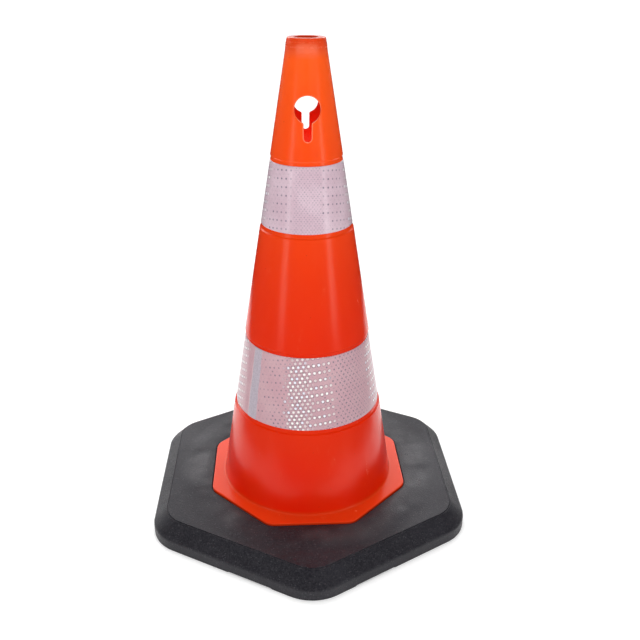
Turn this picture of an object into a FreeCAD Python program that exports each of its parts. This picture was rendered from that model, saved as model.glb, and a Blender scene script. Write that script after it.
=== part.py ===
import FreeCAD, Part
import math
import os

import Sketcher

# Two-part road cone: a thin orange shell with an octagonal foot flange snaps into a
# heavy hexagonal base, and two reflective sleeves are wrapped round the shell.
# Millimetres, +Z up, origin on the ground under the middle of the base. One corner of
# the base points along -Y, and so does one flat side of the octagonal flange.

DRIVING_SIZES = [
    # shell
    ("overall_height", 750, "ground to the top of the lip"),
    ("tip_radius", 26.9, "outer radius of the straight taper at the overall height"),
    ("taper", 0.164, "gain in radius for each millimetre down the cone"),
    ("wall", 2.8, "thickness of the moulded wall"),
    ("foot_fillet", 3, "inside corner where the wall meets the flange"),
    # lip and collar at the top
    ("lip_bore_radius", 17.6, "radius of the opening in the top"),
    ("lip_thickness", 4, "height of the lip round the opening"),
    ("collar_height", 17, "height of the slightly raised band under the lip"),
    ("collar_proud", 0.5, "how far that band stands out from the taper"),
    ("lip_edge", 1.6, "rounding of the outer edge of the lip"),
    # sleeves and the recesses they sit in
    ("upper_sleeve_top", 581.5, "height of the upper sleeve's top edge"),
    ("upper_sleeve_bottom", 486.5, "height of the upper sleeve's bottom edge"),
    ("lower_sleeve_top", 301.5, "height of the lower sleeve's top edge"),
    ("lower_sleeve_bottom", 185.5, "height of the lower sleeve's bottom edge"),
    ("upper_recess_depth", 1.3, "depth of the recess for the upper sleeve"),
    ("lower_recess_depth", 2.1, "depth of the recess for the lower sleeve"),
    ("recess_margin_above", 5, "bare strip of recess above a sleeve"),
    ("recess_margin_below", 6, "bare strip of recess below a sleeve"),
    ("recess_bevel", 2, "height of the bevel at each end of a recess"),
    ("sleeve_thickness", 0.6, "thickness of the sheeting"),
    ("glue_gap", 0.05, "layer of adhesive under the sheeting"),
    ("seam_angle", 10, "angle that the sheeting's overlapped end covers"),
    # keyhole
    ("keyhole_height", 658, "height of the centre of its round part"),
    ("keyhole_radius", 18.3, "radius of its round part"),
    ("keyhole_slot_half", 5.6, "half the width of its slot"),
    ("keyhole_bottom", 615, "height of the bottom end of its slot"),
    ("keyhole_corner", 3, "rounding where the slot meets the round part"),
    # flange and snap tongues
    ("flange_half", 161.5, "centre to flat side of the octagonal flange"),
    ("flange_top", 42.5, "height of its upper face"),
    ("flange_thickness", 6, "its thickness"),
    ("flange_corner", 26, "rounding of its eight corners"),
    ("flange_edge", 1.5, "rounding of its upper edge"),
    ("tongue_outer", 146, "outer radius of the ring of snap tongues"),
    ("tongue_bottom", 16, "height of their lower ends"),
    ("tongue_width", 36, "width of each tongue"),
    ("hook_reach", 3.5, "how far a hook stands out from its tongue"),
    ("hook_top", 23.7, "height of the hooks' catching face"),
    ("hook_land", 2.3, "straight height of a hook above its lead-in"),
    # base
    ("base_half", 254, "centre to flat side of the hexagonal base"),
    ("base_corner", 70, "rounding of its six corners"),
    ("base_top", 40, "height of its upper face"),
    ("side_height", 18, "height of the upright side"),
    ("bevel_width", 23, "width of the sloping border, seen from above"),
    ("bevel_top_edge", 1.5, "rounding where the upper face meets the border"),
    ("bevel_low_edge", 7, "rounding where the border meets the upright side"),
    ("seat_gap", 1.8, "gap between the flange and its seat"),
    ("hole_radius", 147, "radius of the centre hole at the seat"),
    ("ledge_bottom", 24, "height of the ledge that the hooks catch"),
    ("underside_radius", 215, "radius of the round recess under the ledge"),
    ("notch_length", 73, "length of each notch under the side"),
    ("notch_height", 2, "height of each notch"),
    ("notch_depth", 24, "how far each notch runs in from the side"),
]

SEAM_ANGLES = {"upper": 90.0, "lower": 214.5}
OCTAGON_SIDES = 8
OCTAGON_CORNER_ANGLE = 22.5
HEXAGON_SIDES = 6
HEXAGON_CORNER_ANGLE = -90
NOTCHED_CORNERS = 3
CLEAR = 2.0  # how far cuts run past the faces they open
NEAR = 1e-3  # how close two positions are when they count as the same


def cone_radius(height):
    """Expression for the shell's outer radius at a height, before recesses."""
    return f"(Sizes.tip_radius + (Sizes.overall_height - ({height})) * Sizes.taper)"


def make_sheet(doc):
    sheet = doc.addObject("Spreadsheet::Sheet", "Sizes")
    for row, (alias, size, meaning) in enumerate(DRIVING_SIZES, start=1):
        sheet.set(f"A{row}", alias)
        sheet.set(f"B{row}", str(size))
        sheet.set(f"C{row}", meaning)
        sheet.setAlias(f"B{row}", alias)
    doc.recompute()


def value(expression):
    """The number that an expression has with the sheet's present sizes."""
    return float(FreeCAD.ActiveDocument.Sizes.evalExpression(expression))


def new_body(doc, name):
    body = doc.addObject("PartDesign::Body", name)
    body.Label = name
    body.Placement = FreeCAD.Placement()
    return body


def new_sketch(body, name, role, height=None, turn=0.0):
    """A sketch on one of the body's origin planes, raised to a height or turned about Z."""
    sketch = body.newObject("Sketcher::SketchObject", name)
    plane = next(item for item in body.Origin.OriginFeatures if item.Role == role)
    sketch.AttachmentSupport = [(plane, "")]
    sketch.MapMode = "FlatFace"
    if turn:
        about_z = FreeCAD.Rotation(FreeCAD.Vector(0, 1, 0), turn)
        sketch.AttachmentOffset = FreeCAD.Placement(FreeCAD.Vector(), about_z)
    if height:
        sketch.setExpression("AttachmentOffset.Base.z", height)
    return sketch


def bind_point(sketch, edge, end, x, y):
    """Tie one end of an edge to two expressions."""
    for kind, axis, expression in (("DistanceX", -2, x), ("DistanceY", -1, y)):
        if expression == "0":
            sketch.addConstraint(Sketcher.Constraint("PointOnObject", edge, end, axis))
            continue
        index = sketch.addConstraint(
            Sketcher.Constraint(kind, -1, 1, edge, end, value(expression)))
        name = f"{kind}{edge}_{end}"
        sketch.renameConstraint(index, name)
        sketch.setExpression(f"Constraints.{name}", expression)


def bind_circle(sketch, radius, x="0", y="0"):
    """A full circle whose centre and radius are tied to expressions."""
    centre = FreeCAD.Vector(value(x), value(y), 0)
    circle = sketch.addGeometry(Part.Circle(centre, FreeCAD.Vector(0, 0, 1), value(radius)))
    index = sketch.addConstraint(Sketcher.Constraint("Radius", circle, value(radius)))
    sketch.renameConstraint(index, f"Radius{circle}")
    sketch.setExpression(f"Constraints.Radius{circle}", radius)
    bind_point(sketch, circle, 3, x, y)
    return circle


def outline(sketch, corners):
    """A closed outline of straight edges whose corners are tied to expressions."""
    points = [FreeCAD.Vector(value(x), value(y), 0) for x, y in corners]
    edges = []
    for start, end in zip(points, points[1:] + points[:1]):
        edges.append(sketch.addGeometry(Part.LineSegment(start, end)))
    for edge, following in zip(edges, edges[1:] + edges[:1]):
        sketch.addConstraint(Sketcher.Constraint("Coincident", edge, 2, following, 1))
    for edge, (x, y) in zip(edges, corners):
        bind_point(sketch, edge, 1, x, y)


def polygon(sketch, sides, half, first_corner):
    """A regular polygon, given half its width across flats and one corner's direction."""
    reach = f"({half}) / cos({180 / sides} deg)"
    corners = []
    for index in range(sides):
        angle = first_corner + index * 360 / sides
        corners.append((f"{reach} * cos({angle} deg)", f"{reach} * sin({angle} deg)"))
    outline(sketch, corners)


def revolve(body, name, sketch, groove=False):
    kind = "PartDesign::Groove" if groove else "PartDesign::Revolution"
    feature = body.newObject(kind, name)
    feature.Profile = sketch
    feature.ReferenceAxis = (sketch, ["V_Axis"])
    FreeCAD.ActiveDocument.recompute()
    return feature


def pad(body, name, sketch, length):
    feature = body.newObject("PartDesign::Pad", name)
    feature.Profile = sketch
    feature.setExpression("Length", length)
    FreeCAD.ActiveDocument.recompute()


def pocket(body, name, sketch, length, upward=False):
    """A cut below its sketch, or above it with upward; it must take material away."""
    before = body.Shape.Volume
    feature = body.newObject("PartDesign::Pocket", name)
    feature.Profile = sketch
    feature.Reversed = upward
    feature.setExpression("Length", length)
    FreeCAD.ActiveDocument.recompute()
    check_cut(name, before, body.Shape.Volume)
    return feature


def check_cut(name, before, after):
    if after >= before - 1.0:
        raise ValueError(f"{name} cuts nothing")


def repeat(body, name, feature, count):
    """The feature repeated round the vertical axis."""
    pattern = body.newObject("PartDesign::PolarPattern", name)
    pattern.Originals = [feature]
    axis = next(item for item in body.Origin.OriginFeatures if item.Role == "Z_Axis")
    pattern.Axis = (axis, [""])
    pattern.Angle = 360
    pattern.Occurrences = count
    body.Tip = pattern
    FreeCAD.ActiveDocument.recompute()


def round_edges(body, name, chosen, radius):
    """A fillet on every edge of the body's shape that the test picks out."""
    tip = body.Tip
    edges = [f"Edge{i}" for i, edge in enumerate(tip.Shape.Edges, start=1) if chosen(edge)]
    if not edges:
        raise ValueError(f"{name} finds no edges")
    feature = body.newObject("PartDesign::Fillet", name)
    feature.Base = (tip, edges)
    feature.setExpression("Radius", radius)
    FreeCAD.ActiveDocument.recompute()


def ends(edge):
    return [vertex.Point for vertex in edge.Vertexes]


def is_upright(edge):
    points = ends(edge)
    if len(points) != 2:
        return False
    low, high = sorted(points, key=lambda point: point.z)
    return math.hypot(high.x - low.x, high.y - low.y) < NEAR < high.z - low.z


def lies_at(edge, height):
    box = edge.BoundBox
    return abs(box.ZMin - height) < NEAR and abs(box.ZMax - height) < NEAR


def reaches_out(edge, radius):
    """Whether the whole edge is outside a radius about the vertical axis."""
    return all(math.hypot(point.x, point.y) > radius for point in edge.discretize(8))


def recess_heights(which):
    """Heights of a recess's four corners, from its lower outer corner upwards."""
    floor_low = f"Sizes.{which}_sleeve_bottom - Sizes.recess_margin_below"
    floor_high = f"Sizes.{which}_sleeve_top + Sizes.recess_margin_above"
    return [f"{floor_low} - Sizes.recess_bevel", floor_low,
            floor_high, f"{floor_high} + Sizes.recess_bevel"]


def shell_side(inset):
    """One side of the wall, from the foot up, with the sleeve recesses stepped in."""
    side = [(f"{cone_radius('Sizes.flange_top - Sizes.flange_thickness')} - {inset}",
             "Sizes.flange_top - Sizes.flange_thickness")]
    for which in ("lower", "upper"):
        heights = recess_heights(which)
        depths = ["0", f"Sizes.{which}_recess_depth", f"Sizes.{which}_recess_depth", "0"]
        for height, depth in zip(heights, depths):
            side.append((f"{cone_radius(height)} - {depth} - {inset}", height))
    return side


def make_shell(doc):
    """Cone wall, lip, keyhole, foot flange and snap tongues, all one moulding."""
    body = new_body(doc, "cone_body")

    collar_low = "Sizes.overall_height - Sizes.collar_height"
    collar_mid = "Sizes.overall_height - Sizes.collar_height / 2"
    lip_low = "Sizes.overall_height - Sizes.lip_thickness"
    outside = shell_side("0") + [
        (cone_radius(collar_low), collar_low),
        (f"{cone_radius(collar_mid)} + Sizes.collar_proud", collar_mid),
        (cone_radius("Sizes.overall_height"), "Sizes.overall_height"),
    ]
    inside = shell_side("Sizes.wall") + [
        (f"{cone_radius(lip_low)} - Sizes.wall", lip_low),
        ("Sizes.lip_bore_radius", lip_low),
        ("Sizes.lip_bore_radius", "Sizes.overall_height"),
    ]
    wall = new_sketch(body, "WallProfile", "XZ_Plane")
    outline(wall, outside + inside[::-1])
    revolve(body, "Wall", wall)

    top = value("Sizes.overall_height")
    bore = value("Sizes.lip_bore_radius")
    round_edges(body, "LipOuterEdge", lambda e: lies_at(e, top) and reaches_out(e, bore + 1),
                "Sizes.lip_edge")
    round_edges(body, "LipInnerEdge",
                lambda e: lies_at(e, top) and not reaches_out(e, bore + 1), "Sizes.lip_edge / 2")

    flange = new_sketch(body, "FlangeOutline", "XY_Plane",
                        "Sizes.flange_top - Sizes.flange_thickness")
    polygon(flange, OCTAGON_SIDES, "Sizes.flange_half", OCTAGON_CORNER_ANGLE)
    bind_circle(flange, f"{cone_radius('Sizes.flange_top')} - Sizes.wall / 2")
    pad(body, "Flange", flange, "Sizes.flange_thickness")

    foot = value("Sizes.tongue_outer")
    flange_top = value("Sizes.flange_top")
    round_edges(body, "FlangeCorners", lambda e: is_upright(e) and reaches_out(e, foot),
                "Sizes.flange_corner")
    round_edges(body, "FlangeEdge",
                lambda e: lies_at(e, flange_top) and reaches_out(e, foot), "Sizes.flange_edge")
    round_edges(body, "FootFillet",
                lambda e: lies_at(e, flange_top) and not reaches_out(e, foot),
                "Sizes.foot_fillet")

    make_tongues(body)
    make_keyhole(body)
    return body


def make_tongues(body):
    """Ring of hooked tongues under the flange, parted by wide gaps at its corners."""
    flange_low = "Sizes.flange_top - Sizes.flange_thickness"
    outer = "Sizes.tongue_outer"
    reach = "Sizes.tongue_outer + Sizes.hook_reach"
    inner = "Sizes.tongue_outer - Sizes.wall"
    ring = new_sketch(body, "TongueProfile", "XZ_Plane")
    outline(ring, [
        (inner, "Sizes.tongue_bottom"),
        (outer, "Sizes.tongue_bottom"),
        (reach, "Sizes.hook_top - Sizes.hook_land"),
        (reach, "Sizes.hook_top"),
        (outer, "Sizes.hook_top"),
        (outer, flange_low),
        (inner, flange_low),
    ])
    revolve(body, "TongueRing", ring)

    gap = new_sketch(body, "TongueGap", "XY_Plane", flange_low)
    turn = f"{OCTAGON_CORNER_ANGLE} deg"
    near = f"(({inner}) * cos({turn}))"
    far = f"({reach} + {CLEAR})"
    corners = []
    for along, side in ((near, -1), (far, -1), (far, 1), (near, 1)):
        half = f"({along} * tan({turn}) - Sizes.tongue_width / 2)"
        corners.append((f"{along} * cos({turn}) - {side} * {half} * sin({turn})",
                        f"{along} * sin({turn}) + {side} * {half} * cos({turn})"))
    outline(gap, corners)
    cut = pocket(body, "TongueGapCut", gap, f"{flange_low} - Sizes.tongue_bottom + {CLEAR}")
    repeat(body, "TongueGaps", cut, OCTAGON_SIDES)


def make_keyhole(body):
    """Keyhole straight through the front and back walls."""
    sketch = new_sketch(body, "KeyholeOutline", "XZ_Plane")
    radius = value("Sizes.keyhole_radius")
    half = value("Sizes.keyhole_slot_half")
    centre = FreeCAD.Vector(0, value("Sizes.keyhole_height"), 0)
    slot_end = FreeCAD.Vector(0, value("Sizes.keyhole_bottom") + half, 0)
    joint_angle = math.asin(half / radius)
    joint = math.sqrt(radius ** 2 - half ** 2)
    normal = FreeCAD.Vector(0, 0, 1)
    start = -math.pi / 2 + joint_angle
    round_part = Part.ArcOfCircle(Part.Circle(centre, normal, radius),
                                  start, start + 2 * math.pi - 2 * joint_angle)
    end_part = Part.ArcOfCircle(Part.Circle(slot_end, normal, half), math.pi, 2 * math.pi)
    left_top = centre + FreeCAD.Vector(-half, -joint, 0)
    right_top = centre + FreeCAD.Vector(half, -joint, 0)
    left = Part.LineSegment(left_top, slot_end + FreeCAD.Vector(-half, 0, 0))
    right = Part.LineSegment(slot_end + FreeCAD.Vector(half, 0, 0), right_top)
    ring, left, end, right = sketch.addGeometry([round_part, left, end_part, right])
    for first, first_end, second, second_end in ((ring, 2, left, 1), (right, 2, ring, 1)):
        sketch.addConstraint(
            Sketcher.Constraint("Coincident", first, first_end, second, second_end))
    sketch.addConstraint(Sketcher.Constraint("Tangent", left, 2, end, 1))
    sketch.addConstraint(Sketcher.Constraint("Tangent", end, 2, right, 1))
    sketch.addConstraint(Sketcher.Constraint("Vertical", left))
    for arc, size in ((ring, "Sizes.keyhole_radius"), (end, "Sizes.keyhole_slot_half")):
        index = sketch.addConstraint(Sketcher.Constraint("Radius", arc, value(size)))
        sketch.renameConstraint(index, f"Radius{arc}")
        sketch.setExpression(f"Constraints.Radius{arc}", size)
    bind_point(sketch, ring, 3, "0", "Sizes.keyhole_height")
    bind_point(sketch, end, 3, "0", "Sizes.keyhole_bottom + Sizes.keyhole_slot_half")

    before = body.Shape.Volume
    cut = body.newObject("PartDesign::Pocket", "Keyhole")
    cut.Profile = sketch
    cut.Type = "ThroughAll"
    cut.SideType = "Symmetric"
    FreeCAD.ActiveDocument.recompute()
    check_cut("Keyhole", before, body.Shape.Volume)

    joint_height = value("Sizes.keyhole_height") - joint

    def at_joint(edge):
        """Whether an edge crosses the wall where the slot meets the round part."""
        return len(ends(edge)) == 2 and all(
            abs(abs(point.x) - half) < NEAR and abs(point.z - joint_height) < NEAR
            for point in ends(edge))

    round_edges(body, "KeyholeCorners", at_joint, "Sizes.keyhole_corner")


def make_base(doc):
    """Moulded weight: hexagon with a sloping border, flange seat and recessed underside."""
    body = new_body(doc, "weighted_base")

    hexagon = new_sketch(body, "BaseOutline", "XY_Plane")
    polygon(hexagon, HEXAGON_SIDES, "Sizes.base_half", HEXAGON_CORNER_ANGLE)
    pad(body, "BaseBlock", hexagon, "Sizes.base_top")
    round_edges(body, "BaseCorners", is_upright, "Sizes.base_corner")

    tip = body.Tip
    top = value("Sizes.base_top")
    rim = [f"Edge{i}" for i, edge in enumerate(tip.Shape.Edges, start=1) if lies_at(edge, top)]
    bevel = body.newObject("PartDesign::Chamfer", "Border")
    bevel.Base = (tip, rim)
    bevel.ChamferType = "Two distances"
    bevel.setExpression("Size", "Sizes.bevel_width")
    bevel.setExpression("Size2", "Sizes.base_top - Sizes.side_height")
    doc.recompute()
    shoulder = value("Sizes.side_height")
    if not any(lies_at(edge, shoulder) for edge in bevel.Shape.Edges):
        bevel.FlipDirection = True
        doc.recompute()
    round_edges(body, "BorderTopEdge", lambda e: lies_at(e, top), "Sizes.bevel_top_edge")
    round_edges(body, "BorderLowEdge", lambda e: lies_at(e, shoulder), "Sizes.bevel_low_edge")

    seat_low = "Sizes.flange_top - Sizes.flange_thickness"
    seat = new_sketch(body, "SeatOutline", "XY_Plane", "Sizes.base_top")
    polygon(seat, OCTAGON_SIDES, "Sizes.flange_half + Sizes.seat_gap", OCTAGON_CORNER_ANGLE)
    pocket(body, "Seat", seat, f"Sizes.base_top - ({seat_low})")
    floor = value(seat_low)
    round_edges(body, "SeatCorners",
                lambda e: is_upright(e) and abs(e.BoundBox.ZMin - floor) < NEAR,
                "Sizes.flange_corner + Sizes.seat_gap")

    hole = new_sketch(body, "HoleProfile", "XZ_Plane")
    outline(hole, [
        (f"{CLEAR}", f"-{CLEAR}"),
        ("Sizes.underside_radius", f"-{CLEAR}"),
        ("Sizes.underside_radius", "Sizes.ledge_bottom"),
        ("Sizes.hole_radius", "Sizes.ledge_bottom"),
        ("Sizes.hole_radius", f"Sizes.base_top + {CLEAR}"),
        (f"{CLEAR}", f"Sizes.base_top + {CLEAR}"),
    ])
    before = body.Shape.Volume
    revolve(body, "CentreHole", hole, groove=True)
    check_cut("CentreHole", before, body.Shape.Volume)
    core = new_sketch(body, "CoreOutline", "XY_Plane", "Sizes.base_top")
    bind_circle(core, f"{2 * CLEAR}")
    pocket(body, "CentreCore", core, f"Sizes.base_top + {CLEAR}")

    make_notches(body)
    return body


def make_notches(body):
    """A shallow notch under each side, from its middle towards every second corner."""
    sketch = new_sketch(body, "NotchOutline", "XY_Plane")
    deep = "(Sizes.base_half - Sizes.notch_depth)"
    past = f"(Sizes.base_half + {CLEAR})"
    for side in (-1, 1):
        normal = f"{HEXAGON_CORNER_ANGLE + side * 180 / HEXAGON_SIDES} deg"
        corners = []
        for reach, along in ((past, "0"), (past, "Sizes.notch_length"),
                             (deep, "Sizes.notch_length"), (deep, "0")):
            corners.append((f"{reach} * cos({normal}) + {side} * {along} * sin({normal})",
                            f"{reach} * sin({normal}) - {side} * {along} * cos({normal})"))
        outline(sketch, corners)
    cut = pocket(body, "NotchCut", sketch, "Sizes.notch_height", upward=True)
    repeat(body, "Notches", cut, NOTCHED_CORNERS)


def make_sleeve(doc, which):
    """One strip of sheeting round its recess, with its end lapped over its start."""
    body = new_body(doc, f"reflective_sleeve_{which}")
    low = f"Sizes.{which}_sleeve_bottom"
    high = f"Sizes.{which}_sleeve_top"
    inner = f"- Sizes.{which}_recess_depth + Sizes.glue_gap"

    def strip(sketch, start, end):
        """Cross-section of the strip between two depths through the sheeting."""
        outline(sketch, [(f"{cone_radius(low)} {inner} + {start}", low),
                         (f"{cone_radius(low)} {inner} + {end}", low),
                         (f"{cone_radius(high)} {inner} + {end}", high),
                         (f"{cone_radius(high)} {inner} + {start}", high)])

    ring = new_sketch(body, "StripProfile", "XZ_Plane")
    strip(ring, "0", "Sizes.sleeve_thickness")
    revolve(body, "Strip", ring)
    lap = new_sketch(body, "LapProfile", "XZ_Plane", turn=SEAM_ANGLES[which])
    strip(lap, "Sizes.sleeve_thickness / 2", "Sizes.sleeve_thickness * 2")
    lapped = revolve(body, "Lap", lap)
    lapped.setExpression("Angle", "Sizes.seam_angle")
    doc.recompute()
    return body


def check_document(doc, bodies):
    for item in doc.Objects:
        if "Invalid" in item.State or "Error" in item.State:
            raise ValueError(f"{item.Name} is {item.State}")
    for body in bodies:
        shape = body.Shape
        if shape.isNull() or not shape.isValid() or len(shape.Solids) != 1:
            raise ValueError(f"{body.Label} is not one valid solid")


def main():
    doc = FreeCAD.newDocument("TrafficCone")
    make_sheet(doc)
    bodies = [make_shell(doc), make_base(doc), make_sleeve(doc, "upper"),
              make_sleeve(doc, "lower")]
    doc.recompute()
    check_document(doc, bodies)

    os.makedirs("parts", exist_ok=True)
    for body in bodies:
        body.Shape.exportStep(os.path.join("parts", f"{body.Label}.step"))
        box = body.Shape.BoundBox
        print(f"{body.Label}: volume {body.Shape.Volume / 1000:.0f} cm3, "
              f"x {box.XMin:.1f}..{box.XMax:.1f}, y {box.YMin:.1f}..{box.YMax:.1f}, "
              f"z {box.ZMin:.1f}..{box.ZMax:.1f}")


main()
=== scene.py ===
import math

import bmesh
import bpy
from mathutils import Matrix, Vector


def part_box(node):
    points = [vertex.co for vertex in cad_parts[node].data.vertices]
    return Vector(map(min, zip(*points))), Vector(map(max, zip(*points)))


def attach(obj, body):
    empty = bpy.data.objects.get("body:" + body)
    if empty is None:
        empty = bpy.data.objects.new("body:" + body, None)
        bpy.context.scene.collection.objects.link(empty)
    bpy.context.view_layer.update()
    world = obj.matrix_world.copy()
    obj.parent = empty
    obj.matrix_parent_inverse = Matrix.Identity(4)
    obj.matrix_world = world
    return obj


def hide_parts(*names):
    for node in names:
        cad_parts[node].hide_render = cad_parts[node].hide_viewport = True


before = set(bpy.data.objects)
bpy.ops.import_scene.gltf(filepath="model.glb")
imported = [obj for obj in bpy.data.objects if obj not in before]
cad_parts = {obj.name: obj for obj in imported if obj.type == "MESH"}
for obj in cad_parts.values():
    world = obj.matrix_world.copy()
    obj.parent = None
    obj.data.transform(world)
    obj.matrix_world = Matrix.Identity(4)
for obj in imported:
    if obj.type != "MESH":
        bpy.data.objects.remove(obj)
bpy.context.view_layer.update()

MM = 0.001


def highest(node, axis):
    """A node's highest coordinate along an axis, in millimetres."""
    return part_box(node)[1][axis] / MM


def heights(node):
    """A node's lowest and highest height, in millimetres."""
    low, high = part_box(node)
    return low[2] / MM, high[2] / MM


# Sizes in millimetres, as in the CAD model.
HEIGHT = highest("cone_body", 2)
TIP_RADIUS = 26.9
TAPER = 0.164
WALL = 2.8
BORE = 17.6
LIP_LOW = 746.0
LIP_MIDDLE = TIP_RADIUS - 6.0
COLLAR_LOW = 733.0
COLLAR_MID = 741.5
COLLAR_PROUD = 0.5
SLEEVES = {
    "upper": {"span": heights("reflective_sleeve_upper"), "depth": 1.3, "lap": (90.0, 100.0)},
    "lower": {"span": heights("reflective_sleeve_lower"), "depth": 2.1, "lap": (214.5, 224.5)},
}
RECESS_ABOVE = 5.0
RECESS_BELOW = 6.0
RECESS_BEVEL = 2.0
RECESS_EDGE = 0.45
SHEET = 0.6
GLUE = 0.05
KEY_Z = 658.0
KEY_R = 18.3
KEY_HALF = 5.6
KEY_BOTTOM = 615.0
KEY_CORNER = 3.0
FLANGE_HALF = highest("cone_body", 0)
FLANGE_CORNER = 26.0
FLANGE_TOP = 42.5
FLANGE_LOW = 36.5
FLANGE_FILLET = 3.0
TONGUES = 8
TONGUE_WIDTH = 36.0
TONGUE_INNER = 143.2
TONGUE_OUTER = 146.0
HOOK = 149.5
HOOK_TOP = 23.7
HOOK_LOW = 21.4
TONGUE_LOW = 16.0
BASE_HALF = highest("weighted_base", 0)
BASE_CORNER = 70.0
BASE_TOP = highest("weighted_base", 2)
BASE_UPRIGHT = 18.0
CREST = 23.0
CREST_GROOVE = 1.7
BORDER = 40.0
NOTCH_LENGTH = 73.0
NOTCH_DEEP = 24.0
NOTCH_HIGH = 2.0
SEAT_GAP = 1.8
HOLE = 147.0
LEDGE_LOW = 24.0
UNDERSIDE = 215.0


def cone_radius(z):
    """The cone's outside radius at a height, without its recesses."""
    return TIP_RADIUS + (HEIGHT - z) * TAPER


# ------------------------------------------------------------------ mesh helpers

SHEET_MAP = "sheet"
# Name of the vertex attribute that holds the keyhole rim's painted highlight.
RIM_HIGHLIGHT = "rim_highlight"


def add_object(name, data):
    """A new object in the scene, at the origin."""
    item = bpy.data.objects.new(name, data)
    bpy.context.scene.collection.objects.link(item)
    return item


class Mesh:
    """Vertices and faces of one piece, collected ring by ring, in millimetres.

    uvs holds places on a flat sheet, and the other dict how much painted highlight a keyhole's rim
    gets, both by vertex.
    """

    def __init__(self):
        self.points = []
        self.faces = []
        self.uvs = {}
        self.rim_highlight = {}

    def ring(self, points):
        """Adds a row of vertices; gives their numbers."""
        start = len(self.points)
        self.points.extend(points)
        return list(range(start, len(self.points)))

    def bridge(self, first, second, skip=()):
        """Quads between two closed rings; skip holds the columns left open."""
        n = len(first)
        for i in range(n):
            if i in skip:
                continue
            j = (i + 1) % n
            self.faces.append((first[i], first[j], second[j], second[i]))

    def chain(self, rings):
        """Quads between each ring and the next."""
        for first, second in zip(rings, rings[1:]):
            self.bridge(first, second)

    def build(self, name, material, node):
        """Makes the piece in Blender, in metres, hides the CAD node it stands for and puts it under
        the root body.
        """
        mesh = bpy.data.meshes.new(name)
        mesh.from_pydata([(x * MM, y * MM, z * MM) for x, y, z in self.points], [], self.faces)
        mesh.polygons.foreach_set("use_smooth", [True] * len(mesh.polygons))
        if self.uvs:
            layer = mesh.uv_layers.new(name=SHEET_MAP)
            for loop in mesh.loops:
                u, v = self.uvs.get(loop.vertex_index, (0.0, 0.0))
                layer.data[loop.index].uv = (u, v)
        # The painted highlight along the keyhole's rim, as a vertex attribute.
        if self.rim_highlight:
            lightened = mesh.attributes.new(RIM_HIGHLIGHT, "FLOAT", "POINT")
            for index, amount in self.rim_highlight.items():
                lightened.data[index].value = amount
        mesh.validate()
        mesh.materials.append(material)
        recalculate(mesh)
        piece = add_object(name, mesh)
        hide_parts(node)
        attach(piece, "root")


def recalculate(mesh):
    """Turns a mesh's faces outwards."""
    bm = bmesh.new()
    bm.from_mesh(mesh)
    bmesh.ops.recalc_face_normals(bm, faces=bm.faces)
    bm.to_mesh(mesh)
    bm.free()


def rounded(profile, radii, steps=4, guard=0.35):
    """A profile whose corners are arcs, with a guard point on each side of every arc."""
    out = [profile[0]]
    for k in range(1, len(profile) - 1):
        a, b, c = (Vector(profile[i]) for i in (k - 1, k, k + 1))
        radius = radii[k]
        if not radius:
            out.append(tuple(b))
            continue
        u, v = (a - b).normalized(), (c - b).normalized()
        half = math.acos(max(-1.0, min(1.0, u.dot(v)))) / 2
        reach = radius / math.tan(half)
        centre = b + (u + v).normalized() * (radius / math.sin(half))
        start, end = b + u * reach, b + v * reach
        if (a - b).length > reach + 2 * guard:
            out.append(tuple(start + u * guard))
        s, e = start - centre, end - centre
        sweep = s.angle_signed(e)
        for i in range(steps + 1):
            out.append(tuple(centre + Matrix.Rotation(-sweep * i / steps, 2) @ s))
        if (c - b).length > reach + 2 * guard:
            out.append(tuple(end + v * guard))
    out.append(profile[-1])
    return out


def polygon_radius(theta, sides, corner_angle, half, corner):
    """Distance from the axis to a rounded regular polygon, along a direction."""
    step = 2 * math.pi / sides
    offset = (theta - corner_angle + step / 2) % step - step / 2
    phi = step / 2 - abs(offset)
    flat = (half - corner) * math.tan(step / 2)
    if half * math.tan(phi) <= flat:
        return half / math.cos(phi)
    away = (half - corner) / math.cos(step / 2)
    delta = step / 2 - phi
    return away * math.cos(delta) + math.sqrt(max(0.0, corner ** 2 - (away * math.sin(delta)) ** 2))


# ------------------------------------------------------------------ orange shell

COLUMNS = 288
FRONT = 3 * COLUMNS // 4
BACK = COLUMNS // 4
PATCH_COLUMNS = 31
PATCH_HIGH = 688.0
PATCH_LOW = 604.0
PATCH_ROWS = 21
# Points on half the keyhole's outline; twice their sum matches the patch's border.
ROUND_STEPS, CORNER_STEPS, SLOT_STEPS, END_STEPS = 42, 4, 14, 23
KEY_SOFT = 0.9
# How far in each ring round the keyhole lies, and the steps of its rounded edge.
PATCH_SPACING = (0.30, 0.55, 0.74, 0.88, 0.96)
EDGE_SPACING = (0.0, 0.25, 0.5, 0.75, 1.0)


def column_angle(i):
    """Direction of one of the shell's columns."""
    return 2 * math.pi * i / COLUMNS


def patch_height(row):
    """Height of one row of the grid round the keyhole."""
    return PATCH_HIGH + (PATCH_LOW - PATCH_HIGH) * row / PATCH_ROWS


def circle_ring(mesh, radius, z):
    """One round ring of the shell."""
    return mesh.ring([(radius * math.cos(column_angle(i)), radius * math.sin(column_angle(i)), z)
                      for i in range(COLUMNS)])


def recess(which, inset):
    """Corners of one sleeve's recess, from its top down."""
    part = SLEEVES[which]
    low, high = part["span"]
    low -= RECESS_BELOW
    high += RECESS_ABOVE
    depth = part["depth"]
    return [(cone_radius(high + RECESS_BEVEL) - inset, high + RECESS_BEVEL),
            (cone_radius(high) - depth - inset, high),
            (cone_radius(low) - depth - inset, low),
            (cone_radius(low - RECESS_BEVEL) - inset, low - RECESS_BEVEL)]


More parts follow.
